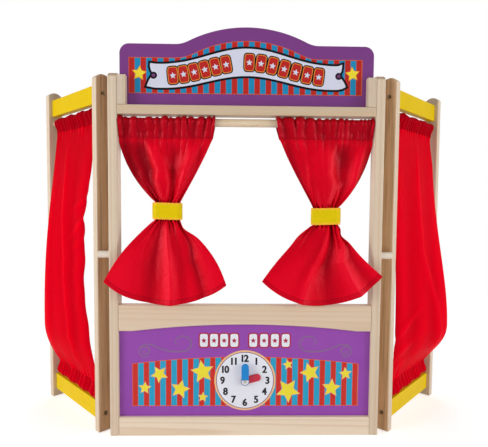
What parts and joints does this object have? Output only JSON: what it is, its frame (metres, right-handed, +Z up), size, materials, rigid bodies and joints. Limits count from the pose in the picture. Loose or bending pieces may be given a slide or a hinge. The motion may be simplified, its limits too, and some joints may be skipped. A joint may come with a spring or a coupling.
{
  "type": "puppet theater stand",
  "caption": "Free-standing wooden puppet theater front with lift-out sign, toy clock panel, tied curtains on a pole and hinged side wings with their own curtains.",
  "frame": {"origin": "centre of the bottom rail's underside, on the floor", "axes": "+X across the stage to the viewer's right, +Y from the audience to the back, +Z up"},
  "size_m": [0.7652, 0.1926, 0.659],
  "materials": {
    "wood": "clear satin pine",
    "dowel": "turned hardwood, clear",
    "purple_paint": "satin purple paint with print",
    "yellow_paint": "satin yellow paint",
    "red_cloth": "smooth woven polyester",
    "band_cloth": "woven yellow band",
    "blue_plastic": "gloss",
    "red_plastic": "gloss",
    "white_plastic": "gloss",
    "steel": "zinc plated",
    "brass": "brass plated"
  },
  "bodies": {
    "front_frame": {"post_left": "wood", "post_right": "wood", "top_rail": "wood", "stage_rail": "wood", "bottom_rail": "wood", "lower_panel": "purple_paint", "sign_cleat_front_left": "wood", "sign_cleat_front_right": "wood", "sign_cleat_back_left": "wood", "sign_cleat_back_right": "wood", "curtain_pole": "dowel", "stop_peg_left": "dowel", "stop_peg_right": "dowel", "clock_pin": "steel", "clock_pin_washer": "steel", "hinge_post_leaf_lower_left": "brass", "hinge_post_leaf_lower_right": "brass", "hinge_post_leaf_upper_left": "brass", "hinge_post_leaf_upper_right": "brass", "hinge_pin_lower_left": "steel", "hinge_pin_lower_right": "steel", "hinge_pin_upper_left": "steel", "hinge_pin_upper_right": "steel"},
    "left_wing": {"wing_front_stile_left": "wood", "wing_back_stile_left": "wood", "wing_top_rail_left": "yellow_paint", "wing_bottom_rail_left": "yellow_paint", "side_pole_top_left": "dowel", "side_pole_bottom_left": "dowel", "side_curtain_left": "red_cloth", "wing_screw_front_bottom_left": "steel", "wing_screw_front_top_left": "steel", "wing_screw_back_bottom_left": "steel", "wing_screw_back_top_left": "steel", "hinge_wing_leaf_lower_left": "brass", "hinge_wing_leaf_upper_left": "brass"},
    "right_wing": {"wing_front_stile_right": "wood", "wing_back_stile_right": "wood", "wing_top_rail_right": "yellow_paint", "wing_bottom_rail_right": "yellow_paint", "side_pole_top_right": "dowel", "side_pole_bottom_right": "dowel", "side_curtain_right": "red_cloth", "wing_screw_front_bottom_right": "steel", "wing_screw_front_top_right": "steel", "wing_screw_back_bottom_right": "steel", "wing_screw_back_top_right": "steel", "hinge_wing_leaf_lower_right": "brass", "hinge_wing_leaf_upper_right": "brass"},
    "sign": {"sign_panel": "purple_paint"},
    "hour_hand": {"clock_hour_hand": "red_plastic"},
    "minute_hand": {"clock_hub": "white_plastic", "clock_minute_hand": "blue_plastic"},
    "left_curtain": {"front_curtain_left": "red_cloth", "curtain_tie_left": "band_cloth"},
    "right_curtain": {"front_curtain_right": "red_cloth", "curtain_tie_right": "band_cloth"}
  },
  "joints": [
    {"name": "left_wing_fold", "type": "hinge", "parent": "front_frame", "child": "left_wing", "pos_m": [-0.219, 0.02065, 0.2921], "axis": [0, 0, 1], "range_deg": [-133, 0]},
    {"name": "right_wing_fold", "type": "hinge", "parent": "front_frame", "child": "right_wing", "pos_m": [0.219, 0.02065, 0.2921], "axis": [0, 0, 1], "range_deg": [0, 133]},
    {"name": "sign_lift", "type": "slide", "parent": "front_frame", "child": "sign", "axis": [0, 0, 1], "range_m": [0, 0.05]},
    {"name": "hour_hand_turn", "type": "hinge", "parent": "front_frame", "child": "hour_hand", "pos_m": [0, -0.00315, 0.09], "axis": [0, 1, 0], "continuous": true},
    {"name": "minute_hand_turn", "type": "hinge", "parent": "front_frame", "child": "minute_hand", "pos_m": [0, -0.00685, 0.09], "axis": [0, 1, 0], "continuous": true},
    {"name": "left_curtain_slide", "type": "slide", "parent": "front_frame", "child": "left_curtain", "axis": [1, 0, 0], "range_m": [0, 0.025]},
    {"name": "right_curtain_slide", "type": "slide", "parent": "front_frame", "child": "right_curtain", "axis": [-1, 0, 0], "range_m": [0, 0.025]}
  ]
}
